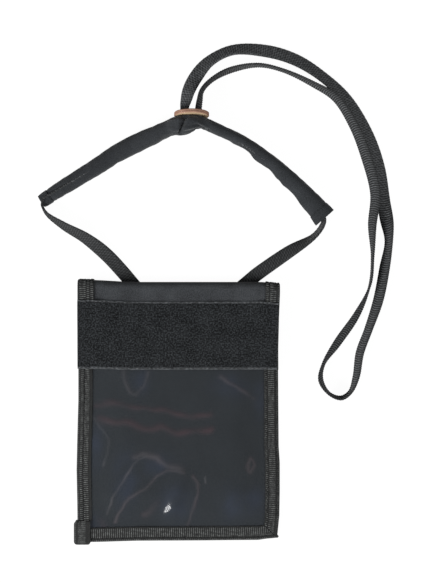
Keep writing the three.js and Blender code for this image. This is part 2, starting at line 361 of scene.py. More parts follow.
def pile_look(name, dark, light, selvedge):
    """Loop pile with a paler woven selvedge where the pile isn't raised."""
    look = Look(name, Roughness=1.0, Sheen_Weight=0.12, Sheen_Roughness=0.5, Specular_IOR_Level=0.15)
    tufts = look.noise(85, 0.42, 0.66, detail=2.0)
    broad = look.noise(9, 0.3, 0.7)
    share = look.math("ADD", look.math("MULTIPLY", tufts, 0.8), look.math("MULTIPLY", broad, 0.2))
    pile = look.mix(share, dark, light)
    edge = look.node("MapRange", {"Value": look.mark("raised"), "From Min": 0.02, "From Max": 0.2})
    shadow = tuple(0.3 * value for value in selvedge)
    uneven = look.noise(28, 0.35, 0.65, detail=3.0, stretch=(1, 3, 1))
    woven = look.mix(uneven, shadow, selvedge)
    look.finish("Base Color", look.mix(edge, woven, pile))
    look.bump(look.noise(260, 0.2, 0.8, detail=4.0), 0.0003)
    return look.material


def vinyl_look():
    """Clear soft vinyl: see-through, with glossy ripples, creases painted a cloudy light grey (one short one
    as a painted highlight), some reddish ones, and patches of painted bluish sheen.
    """
    look = Look("window_vinyl", Roughness=0.14, IOR=1.5, Specular_IOR_Level=0.6)
    cloud_and_highlight = look.mark("cloud")
    reddish = look.mark("warmth")
    # On the window the raised mark is painted bluish sheen.
    bluish_sheen = look.mark("raised")
    fine = look.noise(110, 0.3, 0.7, detail=3.0)
    clear = look.mix(fine, (0.022, 0.028, 0.034), (0.062, 0.070, 0.078))
    # Painted sheen: bluish patches, lighter than the clear vinyl.
    sheen_tinted = look.mix(bluish_sheen, clear, (0.048, 0.062, 0.098))
    # Creases painted a cloudy light grey; one short crease is a painted highlight.
    cloud = look.mix(cloud_and_highlight, sheen_tinted, (0.24, 0.235, 0.25))
    look.finish("Base Color", look.mix(reddish, cloud, (0.115, 0.062, 0.072)))
    marked = look.math("MAXIMUM", look.math("MAXIMUM", cloud_and_highlight, reddish), bluish_sheen)
    alpha = look.node("MapRange", {"Value": marked, "To Min": 0.5, "To Max": 0.72})
    look.finish("Alpha", alpha)
    return look.material


def leather_look():
    """Vegetable-tanned leather: tan faces, and a darker, reddish cut edge."""
    look = Look("slider_leather", Roughness=0.6, Specular_IOR_Level=0.4, Coat_Weight=0.08)
    where = look.node("TexCoord", {}, output="Object")
    grain = look.node("TexNoise", {"Vector": where, "Scale": 900, "Detail": 4.0})
    cloud = look.node("TexNoise", {"Vector": where, "Scale": 160, "Detail": 3.0})
    face = look.mix(cloud, (0.42, 0.30, 0.17), (0.82, 0.62, 0.41))
    rim = look.mix(cloud, (0.17, 0.075, 0.048), (0.68, 0.40, 0.28))
    look.finish("Base Color", look.mix(look.mark("raised"), rim, face))
    look.bump(grain, 0.00015)
    return look.material


shell_fabric = cloth_look("shell_fabric", (0.012, 0.013, 0.015), (0.084, 0.091, 0.100), 0.55, 0.85, 0.3)
sleeve_fabric = cloth_look("sleeve_fabric", (0.014, 0.016, 0.018), (0.050, 0.055, 0.062), 0.4, 0.9, 0.3)
# The dark colours of the tape and braid are painted shade in the grooves between ribs, the light ones painted
# highlights on the crests.
binding_tape = ribbed_look("binding_tape", (0.009, 0.0095, 0.0095), (0.24, 0.25, 0.245))
strap_braid = ribbed_look("strap_braid", (0.008, 0.0085, 0.009), (0.215, 0.225, 0.235))
loop_tape = pile_look("loop_tape", (0.002, 0.0025, 0.003), (0.050, 0.055, 0.060), (0.16, 0.17, 0.18))
hook_tape = pile_look("hook_tape", (0.012, 0.013, 0.014), (0.040, 0.043, 0.047), (0.040, 0.044, 0.048))
thread_look = ribbed_look("thread", (0.012, 0.013, 0.014), (0.060, 0.064, 0.068))
window_vinyl = vinyl_look()
slider_leather = leather_look()


# ---------- the strap ----------

STRAP_WIDTH = 10.0
STRAP_THICKNESS = 1.75
BRAID_PITCH = 1.7
BRAID_HEIGHT = 0.34
STRAP_STEP = 0.38
STRAP_COLUMNS = 15
FIRST_TAIL, LAST_TAIL = 140, 130  # how long the duller stretches at its ends are
DIAMONDS_STOP, DIAMONDS_START = 500, 1000  # between these distances along it the braid shows ribs

# The strap's route from end to end, as in part.mjs, with the strap's turn in degrees from lying flat and
# its curl in degrees across its width.
ROUTE = (
    (-23.1, 82.7, 0.9, 0, 0),
    (-35.3, 97.3, 1.0, 0, 0),
    (-38.8, 101.5, 2.0, 0, 0),
    (-51.4, 115.0, 2.3, 6, 0),
    (-66.8, 127.4, 2.5, 36, 10),
    (-83.6, 137.0, 3.4, 58, 20),
    (-95.6, 145.8, 4.8, 80, 20),
    (-98.4, 151.8, 5.0, 88, 20),
    (-95.8, 157.0, 5.0, 88, 60),
    (-90.5, 160.4, 5.0, 80, 90),
    (-75.3, 169.9, 5.0, 70, 100),
    (-52.7, 183.5, 5.0, 60, 100),
    (-31.2, 195.4, 5.2, 55, 120),
    (-12.0, 204.2, 6.4, 50, 180),
    (-2.4, 208.6, 10.0, 48, 240),
    (5.5, 213.0, 12.8, 46, 250),
    (6.4, 220.0, 12.8, 46, 200),
    (7.3, 226.9, 12.8, 34, 60),
    (9.0, 234.5, 11.6, 20, 20),
    (13.8, 244.5, 8.2, 8, 10),
    (23.5, 256.5, 5.0, 32, 0),
    (40.4, 265.0, 3.2, 37, 0),
    (65.7, 264.5, 2.6, 22, 0),
    (87.1, 258.0, 2.5, 26, 0),
    (106.5, 245.8, 2.5, 36, 0),
    (124.2, 229.2, 2.5, 32, 0),
    (139.6, 203.6, 2.5, 28, 0),
    (148.0, 179.8, 2.5, 28, 0),
    (152.1, 151.9, 2.5, 14, 0),
    (155.2, 127.0, 2.5, -59, 0),
    (152.1, 105.3, 2.5, -48, 0),
    (147.5, 82.0, 2.8, -49, 0),
    (140.2, 60.3, 3.2, -60, 0),
    (134.0, 43.3, 3.8, -60, 0),
    (131.2, 25.7, 4.6, -68, 0),
    (126.8, 14.6, 5.0, -82, 0),
    (120.2, 10.4, 5.0, -79, 0),
    (111.6, 13.6, 5.0, -82, 0),
    (105.4, 23.5, 5.0, -70, 0),
    (107.3, 35.0, 5.0, -77, 0),
    (117.5, 50.7, 3.8, -53, 0),
    (131.7, 71.3, 3.4, -59, 0),
    (141.4, 93.3, 4.6, -88, 0),
    (143.3, 114.5, 5.0, -93, 0),
    (143.1, 137.0, 4.2, -121, 0),
    (145.3, 160.0, 4.8, -131, 0),
    (138.3, 188.1, 5.0, -133, 0),
    (129.4, 210.0, 5.2, -125, 0),
    (116.6, 229.5, 4.8, -115, 0),
    (99.8, 240.0, 3.8, -104, 0),
    (77.6, 250.1, 3.6, -93, 0),
    (59.5, 253.9, 4.2, -96, 0),
    (38.7, 250.0, 5.6, -106, 0),
    (25.8, 242.8, 8.2, -100, 10),
    (18.6, 234.2, 11.6, -101, 30),
    (17.3, 226.9, 12.8, -108, 80),
    (16.4, 220.0, 12.8, -108, 200),
    (15.5, 213.0, 12.8, -108, 250),
    (17.4, 210.0, 11.6, -106, 240),
    (22.0, 208.9, 9.9, -104, 180),
    (29.1, 206.9, 7.4, -100, 120),
    (45.1, 198.6, 5.4, -95, 100),
    (61.9, 187.2, 5.0, -92, 100),
    (77.8, 174.1, 5.0, -90, 90),
    (92.8, 159.2, 5.0, -88, 60),
    (104.6, 146.6, 5.0, -86, 30),
    (107.8, 141.4, 5.0, -80, 20),
    (106.4, 136.2, 4.8, -74, 20),
    (100.3, 128.6, 4.0, -68, 10),
    (81.9, 117.1, 2.8, -26, 0),
    (58.6, 100.8, 2.0, -4, 0),
    (54.4, 97.3, 1.0, 0, 0),
    (39.8, 85.1, 0.9, 0, 0),
)


def smooth_line(points, step):
    """A centripetal Catmull-Rom line through points, (number, values), in samples about step apart.

    The first three values are the place, and the rest change smoothly with it.
    """
    ends = [2 * points[0] - points[1], 2 * points[-1] - points[-2]]
    padded = np.vstack([ends[0], points, ends[1]])
    samples = []
    for p0, p1, p2, p3 in zip(padded, padded[1:], padded[2:], padded[3:]):
        gaps = [math.sqrt(np.linalg.norm(b[:3] - a[:3])) for a, b in ((p0, p1), (p1, p2), (p2, p3))]
        t1, t2, t3 = np.cumsum(gaps)
        t = np.linspace(t1, t2, 24, endpoint=False)[:, None]
        a1 = (t1 - t) / t1 * p0 + t / t1 * p1
        a2 = (t2 - t) / (t2 - t1) * p1 + (t - t1) / (t2 - t1) * p2
        a3 = (t3 - t) / (t3 - t2) * p2 + (t - t2) / (t3 - t2) * p3
        b1 = (t2 - t) / t2 * a1 + t / t2 * a2
        b2 = (t3 - t) / (t3 - t1) * a2 + (t - t1) / (t3 - t1) * a3
        samples.append((t2 - t) / (t2 - t1) * b1 + (t - t1) / (t2 - t1) * b2)
    fine = np.vstack([*samples, points[-1:]])
    distance = np.append(0, np.cumsum(np.linalg.norm(np.diff(fine[:, :3], axis=0), axis=1)))
    even = grid(0, distance[-1], step)
    return np.stack([np.interp(even, distance, column) for column in fine.T], axis=1), even


def line_frame(points):
    """Unit vectors along a line, level to its right, and upwards from it."""
    along = np.gradient(points, axis=0)
    along /= np.linalg.norm(along, axis=1, keepdims=True)
    right = np.cross(along, (0, 0, 1))
    right /= np.linalg.norm(right, axis=1, keepdims=True)
    return along, right, np.cross(right, along)


def ribbon_section(curl, half_width, thickness, columns):
    """One row per curl: each column's place and outward direction across a ribbon, both 2-D."""
    across = np.linspace(-1, 1, columns)
    arc = np.maximum(curl, 0.02)[:, None]
    radius = 2 * half_width / arc
    angle = across * arc / 2
    lift = radius * (1 - np.sin(arc / 2) / (arc / 2))
    place = np.stack([radius * np.sin(angle), radius * (1 - np.cos(angle)) - lift], axis=-1)
    outward = np.stack([-np.sin(angle), np.cos(angle)], axis=-1)
    edge = np.sqrt(np.clip(1 - np.abs(across) ** 9, 0.12, 1))
    return place, outward, edge * thickness[:, None] / 2


def braid(along, across, speckled):
    """The raised pattern of a flat braid, 0 to 1: bowed ribs, or small diamonds where speckled is 1."""
    wave = math.tau * along / BRAID_PITCH
    bow = 4.2 * np.square(across)
    ribs = smooth(0.5 + 0.6 * np.cos(wave + bow)) * (1 - 0.35 * np.square(across))
    diamonds = 0.72 + 0.26 * (np.cos(wave) + np.cos(12.6 * across + wave / 2))
    return np.clip(ribs + (diamonds - ribs) * speckled, 0, 1)


def neck_strap():
    """The flat braid along ROUTE, kept clear of what it lies on."""
    line, distance = smooth_line(np.array(ROUTE), STRAP_STEP)
    turn = np.radians(line[:, 3])
    curl = np.radians(line[:, 4])
    thickness = STRAP_THICKNESS * (1 - 0.3 * smooth(curl / 3.5))
    thickness *= 1 - 0.4 * smooth(1 - np.minimum(distance, distance[-1] - distance) / 24)
    lowest = STRAP_WIDTH / 2 * np.abs(np.sin(turn)) + thickness / 2 * np.abs(np.cos(turn)) + 0.1
    lowest *= 1 - 0.5 * smooth(curl / 2.5)
    centre = line[:, :3].copy()
    centre[:, 2] = np.maximum(centre[:, 2], lowest)
    _, right, up = line_frame(centre)
    wide = np.cos(turn)[:, None] * right + np.sin(turn)[:, None] * up
    thick = -np.sin(turn)[:, None] * right + np.cos(turn)[:, None] * up

    place, outward, half = ribbon_section(curl, STRAP_WIDTH / 2, thickness, STRAP_COLUMNS)
    across = np.linspace(-1, 1, STRAP_COLUMNS)
    from_last = distance[-1] - distance
    on_tail = smooth((FIRST_TAIL - distance) / 20) + smooth((LAST_TAIL - from_last) / 20)
    speckled = smooth((DIAMONDS_STOP - distance) / 60) + smooth((distance - DIAMONDS_START) / 12)
    raised = braid(distance[:, None], across[None, :], speckled[:, None]) * (1 - 0.4 * on_tail[:, None])
    faces = []
    for side in (1, -1):
        reach = half + BRAID_HEIGHT * (raised - 0.5) * (half > 0.3)
        flat = place + side * outward * reach[..., None]
        faces.append(centre[:, None] + flat[..., :1] * wide[:, None] + flat[..., 1:] * thick[:, None])
    # The raised mark also paints the braid's crests light and its grooves dark, as painted highlight and
    # shade.
    piece = cloth("neck_strap_braid", faces[0], faces[1], strap_braid, "strap_braid", raised=raised)
    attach(piece, "pouch")
    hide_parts("neck_strap", "strap_end_left", "strap_end_right")
    return piece, centre, distance[-1]


strap, strap_line, strap_length = neck_strap()


# ---------- sewing thread ----------

THREAD_RADIUS = 0.19


def stitch_row(line, outward, length=2.1, space=0.9):
    """Stitches along a line on a surface, each a short arched thread whose ends dip into it."""
    line = np.asarray(line, float)
    distance = np.append(0, np.cumsum(np.linalg.norm(np.diff(line, axis=0), axis=1)))
    count = int(distance[-1] // (length + space))
    stitches = []
    for number in range(count):
        start = (number + 0.2) * (length + space)
        at = np.linspace(start, start + length, 7)
        middle = np.stack([np.interp(at, distance, column) for column in line.T], axis=1)
        share = np.linspace(0, 1, 7)[:, None]
        middle = middle + np.asarray(outward) * (0.34 * np.sin(math.pi * share) ** 0.6 - 0.2)
        stitches.append(middle)
    return stitches


def sew(name, body, stitches):
    """Joins threads, each a list of points, into one piece of thin round tubes."""
    sides = 6
    turn = np.linspace(0, math.tau, sides, endpoint=False)
    points, faces = [], []
    for middle in stitches:
        _, right, up = line_frame(middle)
        rows = len(middle)
        taper = THREAD_RADIUS * np.sqrt(np.clip(np.sin(math.pi * np.linspace(0.08, 0.92, rows)), 0.2, 1))
        ring = np.cos(turn)[:, None] * right[:, None] + np.sin(turn)[:, None] * up[:, None]
        first = sum(len(group) for group in points)
        points.append((middle[:, None] + taper[:, None, None] * ring).reshape(-1, 3))
        for i in range(rows - 1):
            for j in range(sides):
                k = (j + 1) % sides
                low, high = first + i * sides, first + (i + 1) * sides
                faces.append((low + j, low + k, high + k, high + j))
        faces.append(tuple(first + j for j in range(sides)))
        faces.append(tuple(first + (rows - 1) * sides + j for j in reversed(range(sides))))
    mesh = bpy.data.meshes.new(name)
    mesh.from_pydata((np.concatenate(points) * MM).tolist(), [], faces)
    mesh.uv_layers.new(name="cloth")
    piece = finish_piece(name, mesh, thread_look)
    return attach(piece, body)


# ---------- bindings ----------


def folded_tape(width, low, high, depth, tape=TAPE):
    """Tape folded over an edge, seen end on: two rows of (inward, height), its outer face and its inner.

    low and high are the outer face's heights under and over the edge, and depth is how far in its bend
    reaches.
    """
    turn = np.radians(np.linspace(-90, -270, 15))
    middle, reach = (low + high) / 2, (high - low) / 2
    bend_in = depth + depth * np.cos(turn)
    bend_up = middle + reach * np.sin(turn)
    under = np.linspace(width, depth, 9)[:-1]
    over = np.linspace(depth, width, 34)[1:]
    inward = np.concatenate([under, bend_in, over])
    height = np.concatenate([np.full(len(under), low), bend_up, np.full(len(over), high)])
    step_in, step_up = np.gradient(inward), np.gradient(height)
    size = np.hypot(step_in, step_up)
    outward = np.stack([-step_up / size, step_in / size], axis=1)
    outer = np.stack([inward, height], axis=1)
    return outer, outer - outward * tape, outward


def rib_columns(along, inward, columns):
    """How far the ribs stand up, 0 to 1. Each column of them is (from, to, phase), in from the edge."""
    raised = np.zeros(np.broadcast(along, inward).shape)
    for start, end, phase in columns:
        across = smooth((inward - start) / 0.45) * smooth((end - inward) / 0.45)
        wave = 0.5 + 0.5 * np.cos(math.tau * (along / RIB_PITCH + phase))
        raised = np.maximum(raised, across * smooth(wave * 1.15))
    worn = 0.8 + 0.25 * ripple(along, inward * 3, 9, 21)
    return np.clip(raised * worn, 0, 1)


def bind(name, place, start, end, section, columns):
    """Ribbed tape folded over an edge.

    place turns (along, inward, height) into points. start and end are where it begins and stops, each a
    number or one for each column.
    """
    outer, inner, outward = section
    steps = max(2, round(float(np.max(np.abs(end - start))) / (RIB_PITCH / 6)))
    share = np.linspace(0, 1, steps + 1)[:, None]
    along = start + (end - start) * share + 0 * outer[None, :, 0]
    raised = rib_columns(along, outer[None, :, 0], columns)
    lifted = outer[None] + outward[None] * (RIB_HEIGHT * (raised - 0.35))[..., None]
    top = place(along, lifted[..., 0], lifted[..., 1])
    under = place(along, inner[None, :, 0] + 0 * along, inner[None, :, 1] + 0 * along)
    # The raised mark also paints the ribs' crests light and the grooves dark, as painted highlight and shade.
    return cloth(name, top, under, binding_tape, "binding_tape", raised=raised)


SEWN_TOP = SEWN_HEIGHT + WINDOW_GAP + VINYL + 0.1 + TAPE
MITRE_GAP = 0.32
EDGE_LOW = 0.12  # the ribs under the pouch just clear what it lies on
BODY_BEND = 2.0
FLAP_BEND = 1.4
body_tape = folded_tape(BINDING, EDGE_LOW, SEWN_TOP, BODY_BEND)
SIDE_COLUMNS = ((0.3, 1.8, 0.2), (2.1, 4.6, 0.0), (4.9, 8.9, 0.5))
RIGHT_COLUMNS = ((0.3, 2.1, 0.3), (2.9, 8.0, 0.0), (8.3, 10.6, 0.5))
BOTTOM_COLUMNS = ((0.3, 2.2, 0.5), (2.9, 10.2, 0.0))


def from_left(along, inward, height):
    return pouch_point(LEFT + inward, along, height + 0.15 * ripple(along, inward, 25, 5) * (height > 1))


def from_right(along, inward, height):
    return pouch_point(RIGHT - inward, along, height + 0.15 * ripple(along, inward, 25, 6) * (height > 1))


def from_bottom(along, inward, height):
    return pouch_point(along, BOTTOM + inward, height + 0.15 * ripple(along, inward, 25, 7) * (height > 1))


def body_bindings():
    """The body's three bindings, two of which meet in a mitre at the bottom right."""
    mitre = np.clip(body_tape[0][:, 0], 0, None) + MITRE_GAP
    for name, node, place, start, end, columns in (
        ("left_binding", "side_binding_left", from_left, corner_high[1] + 0.2, side_high[1], SIDE_COLUMNS),
        ("right_binding", "side_binding_right", from_right, BOTTOM + mitre, right_high[1], RIGHT_COLUMNS),
        ("lower_binding", "bottom_binding", from_bottom, bottom_low[0], RIGHT - mitre, BOTTOM_COLUMNS),
    ):
        piece = bind(name, place, start, end, body_tape, columns)
        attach(piece, "pouch")
        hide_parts(node)


def corner_fold():
    """The left binding's end, folded back on itself round the corner into a thick rounded tab."""
    width = corner_high[0] - corner_low[0]
    length = corner_high[1] - corner_low[1]
    along = grid(0, length, RIB_PITCH / 6)[:, None]
    outer, inner, outward = folded_tape(width, EDGE_LOW, SEWN_TOP + 1.1, 2.6, 2 * TAPE)
    foot = np.sqrt(np.clip(1 - np.square(np.clip(1 - along / 2.4, 0, 1)), 0.02, 1))
    head = np.sqrt(np.clip(1 - np.square(np.clip(1 - (length - along) / 1.1, 0, 1)), 0.35, 1))
    pinch = foot * head
    raised = rib_columns(along, outer[None, :, 0], ((0.4, 2.0, 0.0), (3.0, 9.2, 0.3)))
    raised *= smooth(along / 1.5)

    def place(section, lift):
        inward = section[None, :, 0] + outward[None, :, 0] * lift
        height = section[None, :, 1] + outward[None, :, 1] * lift
        middle = (SEWN_TOP + 1.2) / 2
        inward = inward + (1 - foot) * 2.2 * (1 - 2 * inward / width)
        inward = inward + 1.6 * hump((length - along) / 1.6) * (1 - inward / width) ** 2
        height = middle + (height - middle) * pinch
        bulge = 0.5 * ripple(along, inward, 11, 9) * (height > 1.5)
        return stack(corner_low[0] + inward, corner_low[1] + along, np.maximum(height + 0.4 * bulge, 0.02))

    top = place(outer, RIB_HEIGHT * 0.7 * (raised - 0.35))
    under = place(inner, 0 * raised)
    piece = cloth("folded_corner", top, under, binding_tape, "binding_tape", raised=raised)
    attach(piece, "pouch")
    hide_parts("binding_corner_fold")


body_bindings()
corner_fold()


# ---------- the pouch's panels and window ----------


def panel(name, low, high, top, step, point=pouch_point):
    """A sheet of shell fabric between two corners, whose outer face is at top(x, y)."""
    x, y = level_grid(low, high, step)
    height = top(x, y)
    return cloth(name, point(x, y, height), point(x, y, height - FABRIC), shell_fabric, "shell_fabric")


def body_panels():
    def back_height(x, y):
        return back_high[2] + 0.1 * ripple(x, y, 45, 11)

    for name, node, low, high, top, step in (
        ("back_shell", "back_panel", back_low, back_high, back_height, 2.2),
        ("front_shell", "front_panel", front_low, front_high, front_height, 1.6),
    ):
        piece = panel(name, low, high, top, step)
        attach(piece, "pouch")
        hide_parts(node)


# The window's creases: a line of points, its width and height, how much it is painted a cloudy light grey,
# and how reddish it is. The last, short one is a painted highlight.
WINDOW_CREASES = (
    (
        ((-59, 5), (-52, 7.5), (-40, 7), (-28, 3.5), (-12, 3), (4, -1), (12, -3), (26, -1)),
        1.5, 0.20, 0.02, 0.34,
    ),
    (
        ((-57, -4), (-46, -7), (-38, -6), (-22, -11), (-10, -10), (2, -15), (14, -13), (26, -12)),
        1.7, 0.20, 0.02, 0.42,
    ),
    (((-38, 31), (-37, 23), (-34, 16), (-29, 15), (-24, 20), (-20, 30)), 1.3, 0.22, 0.16, 0.06),
    (((33, 27), (36, 25), (44, 20), (48, 17), (57, 11)), 1.0, 0.18, 0.20, 0.16),
    (((-62, -3), (-53, -12), (-49, -20), (-49, -28), (-53, -39)), 0.9, 0.16, 0.16, 0.0),
    (((-19, -31), (-28, -34), (-36, -46), (-42, -56), (-46, -62), (-50, -74)), 0.8, 0.16, 0.24, 0.05),
    (
        ((6, -43), (-6, -42), (-14, -46), (-22, -56), (-26, -58), (-34, -62), (-42, -73), (-44, -80)),
        0.9, 0.18, 0.22, 0.16,
    ),
    (((-30, -32), (-24, -30), (-14, -32), (-7, -38), (4, -42)), 2.0, 0.20, 0.22, 0.12),
    (((12, -46), (16, -52), (14, -66), (9, -82)), 0.9, 0.18, 0.16, 0.16),
    (((54, -34), (57, -39), (54, -44), (51, -39), (54, -34)), 1.0, 0.14, 0.16, 0.20),
    (((-14, -66), (-18, -72), (-22, -76)), 1.8, 0.16, 0.10, 0.16),
    (((-54, -81), (-53, -84)), 2.2, 0.20, 0.05, 0.20),
    # A painted highlight: a short crease painted light grey where the vinyl catches the light.
    (((22, -46), (21.5, -51)), 0.6, 0.14, 0.40, 0.0),
)
# Patches of painted bluish sheen, which also make the vinyl milkier, one of them a painted halo round the
# glint on the bulge: the middle, and the size along X and Y.
WINDOW_SHEEN_PATCHES = (
    (-36, -50, 9, 20), (-60, -24, 7, 16), (-26, 24, 7, 9), (40, 20, 12, 8), (0, -66, 12, 14),
    (42, -68, 9, 12), (57, -66, 8, 10), (-62, -84, 8, 8), (62, 10, 5, 12), (-14, -38, 12, 8),
)
# The bulge that catches the light: its middle, half width, half length, height, and lean to the right.
BULGE_MIDDLE = (-1.4, -68.4)
BULGE_WIDTH, BULGE_LENGTH, BULGE_HEIGHT = 5.4, 17.0, 2.8
BULGE_LEAN = math.radians(18)
WINDOW_STEP = 0.66


def bulge(x, y):
    """The height of the window's largest bulge."""
    from_x, from_y = x - BULGE_MIDDLE[0], y - BULGE_MIDDLE[1]
    along = from_y * math.cos(BULGE_LEAN) + from_x * math.sin(BULGE_LEAN)
    across = from_x * math.cos(BULGE_LEAN) - from_y * math.sin(BULGE_LEAN)
    return BULGE_HEIGHT * hump(np.hypot(across / BULGE_WIDTH, along / BULGE_LENGTH))


def window():
    """Soft clear vinyl over the front panel: it ripples, its creases are painted a cloudy grey (one of them
    as a painted highlight), and it has patches of painted bluish sheen.
    """
    x, y = level_grid(window_low, window_high, WINDOW_STEP)
    from_edge = np.minimum(np.minimum(x - LEFT, RIGHT - x), y - BOTTOM) - BINDING
    loose = smooth(from_edge / 16)
    lift = 0.3 * (1 + ripple(x, y, 42, 13)) + 0.1 * (1 + ripple(x, y, 22, 14))
    lift = np.maximum(lift, 0.05) + bulge(x, y)
    cloud, warmth, bluish_sheen = (np.zeros(lift.shape) for _ in range(3))
    for line, width, height, cloud_and_highlight, reddish in WINDOW_CREASES:
        near_x = x + 0.8 * ripple(x, y, 16, 25)
        near_y = y + 0.8 * ripple(x, y, 15, 26)
        crease = ridge(near_x, near_y, line, width)
        lift = lift + height * crease
        cloud = np.maximum(cloud, cloud_and_highlight * crease)
        warmth = np.maximum(warmth, reddish * ridge(near_x, near_y, line, 1.5 * width))
    # Painted bluish sheen, one patch a painted halo round the glint on the bulge.
    for middle_x, middle_y, size_x, size_y in WINDOW_SHEEN_PATCHES:
        patch = hump(np.hypot((x - middle_x) / size_x, (y - middle_y) / size_y))
        bluish_sheen = np.maximum(bluish_sheen, 0.55 * patch * (0.8 + 0.3 * ripple(x, y, 14, 27)))
    uneven = 0.8 + 0.35 * ripple(x, y, 13, 15)
    height = front_height(x, y) + WINDOW_GAP + VINYL + loose * lift
    outer = pouch_point(x, y, height)
    inner = pouch_point(x, y, height - VINYL)
    marks = {"raised": bluish_sheen, "cloud": cloud * uneven, "warmth": warmth * uneven}
    marks = {name: np.clip(values, 0, 1) for name, values in marks.items()}
    piece = cloth("clear_window", outer, inner, window_vinyl, "window_vinyl", **marks)
    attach(piece, "pouch")
    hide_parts("id_window")


body_panels()
window()


# ---------- hook and loop tapes ----------


def pile_tape(name, low, high, top, thickness, pile, selvedge, step, seed, point):
    """Loop tape whose upper face carries a pile of small tufts between two plain selvedges."""
    draw = np.random.default_rng(seed)
    x, y = level_grid(low, high, step)
    tufts = draw.random(x.shape)
    for axis in (0, 1):
        tufts = (tufts + np.roll(tufts, 1, axis) + np.roll(tufts, 2, axis)) / 3
    tufts = np.clip(0.5 + 2.4 * (tufts - 0.5), 0, 1)
    tufts = 0.8 * tufts + 0.2 * (0.5 + 0.5 * ripple(x, y, 4.5, seed + 1))
    from_edge = np.minimum(y - low[1], high[1] - y) + 0.12 * ripple(x, 0 * x, 7, seed + 2)
    field = smooth((from_edge - selvedge) / 0.5)
    woven = 0.5 + 0.5 * np.sin(math.tau * x / 1.2)
    raised = field * (0.35 + 0.65 * tufts)
    height = top(x, y) + thickness * 0.45
    outer = point(x, y, height + pile * raised + 0.06 * woven * (1 - field))
    inner = point(x, y, top(x, y))
    return cloth(name, outer, inner, loop_tape, "loop_tape", raised=raised)


def closure_tapes():
    """The closing tapes: loops on the front panel, and hooks under the flap that press on them."""

    def over_front(x, y):
        return front_height(x, y) + 0.15

    closing = pile_tape(
        "closing_loop_tape", closure_low, closure_high, over_front,
        thickness=0.9, pile=0.5, selvedge=1.0, step=0.9, seed=31, point=pouch_point,
    )
    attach(closing, "pouch")
    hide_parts("closure_loop_tape")

    x, y = level_grid(hook_low, hook_high, 0.8)
    from_edge = np.minimum(y - hook_low[1], hook_high[1] - y)
    field = smooth((from_edge - 1.0) / 0.6)
    rows = np.square(np.sin(math.pi * x / 1.6)) * np.square(np.sin(math.pi * y / 1.6))
    raised = field * (0.25 + 0.75 * rows)
    upper = flap_point(x, y, hook_high[2])
    lower = flap_point(x, y, hook_high[2] - 0.45 - 0.4 * raised)
    hooks = cloth("closing_hook_tape", lower, upper, hook_tape, "hook_tape", raised=raised)
    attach(hooks, "flap")
    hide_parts("flap_hook_tape")


closure_tapes()


# ---------- the flap and its fold ----------


def from_flap_left(along, inward, height):
    return flap_point(LEFT + inward, along, height)


def from_flap_right(along, inward, height):
    return flap_point(RIGHT - inward, along, height)


def over_binding(x):
    """How much higher the flap's tape lies where it runs over the side bindings."""
    from_left_side = x - LEFT - FLAP_BINDING_LEFT
    from_right_side = RIGHT - BINDING - x
    return 1.05 * (smooth(1 - from_left_side / 12) + smooth(1 - from_right_side / 12))


FLAP_UNDER = flap_low[2] - 1.0
FLAP_OVER = flap_high[2] + 1.0
FLAP_LEFT_COLUMNS = ((0.3, 1.0, 0.0), (1.2, 6.6, 0.0), (6.8, 9.2, 0.5), (9.5, 12.1, 0.0))
FLAP_RIGHT_COLUMNS = ((0.3, 2.0, 0.0), (2.6, 7.6, 0.0), (8.0, 10.5, 0.5))
left_flap_tape = folded_tape(FLAP_BINDING_LEFT, FLAP_UNDER, FLAP_OVER, FLAP_BEND)
right_flap_tape = folded_tape(BINDING, FLAP_UNDER, FLAP_OVER, FLAP_BEND)


def flap():
    def flap_top(x, y):
        return flap_high[2] + 0.12 * ripple(x, y, 40, 17) * smooth((HINGE_Y - y) / 6)

    shell = panel("flap_shell", flap_low, flap_high, flap_top, 1.6, flap_point)
    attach(shell, "flap")
    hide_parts("flap_panel")

    for name, node, place, tape, columns in (
        ("flap_left_binding", "flap_binding_left", from_flap_left, left_flap_tape, FLAP_LEFT_COLUMNS),
        ("flap_right_binding", "flap_binding_right", from_flap_right, right_flap_tape, FLAP_RIGHT_COLUMNS),
    ):
        piece = bind(name, place, flap_high[1], FLAP_EDGE, tape, columns)
        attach(piece, "flap")
        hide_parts(node)

    def over_flap(x, y):
        return flap_high[2] + 0.22 + over_binding(x) + 0.1 * ripple(x, y, 30, 19)

    field = pile_tape(
        "patch_loop_tape", field_low, field_high, over_flap,
        thickness=1.0, pile=0.75, selvedge=1.25, step=0.42, seed=41, point=flap_point,
    )
    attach(field, "flap")
    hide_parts("flap_loop_tape")


def round_fold(x, radius, angle):
    """A point of the roll over the top: angle is -90 degrees under the pouch and 90 degrees on its front."""
    return pouch_point(x, HINGE_Y + radius * np.cos(angle), HINGE_Z + radius * np.sin(angle))


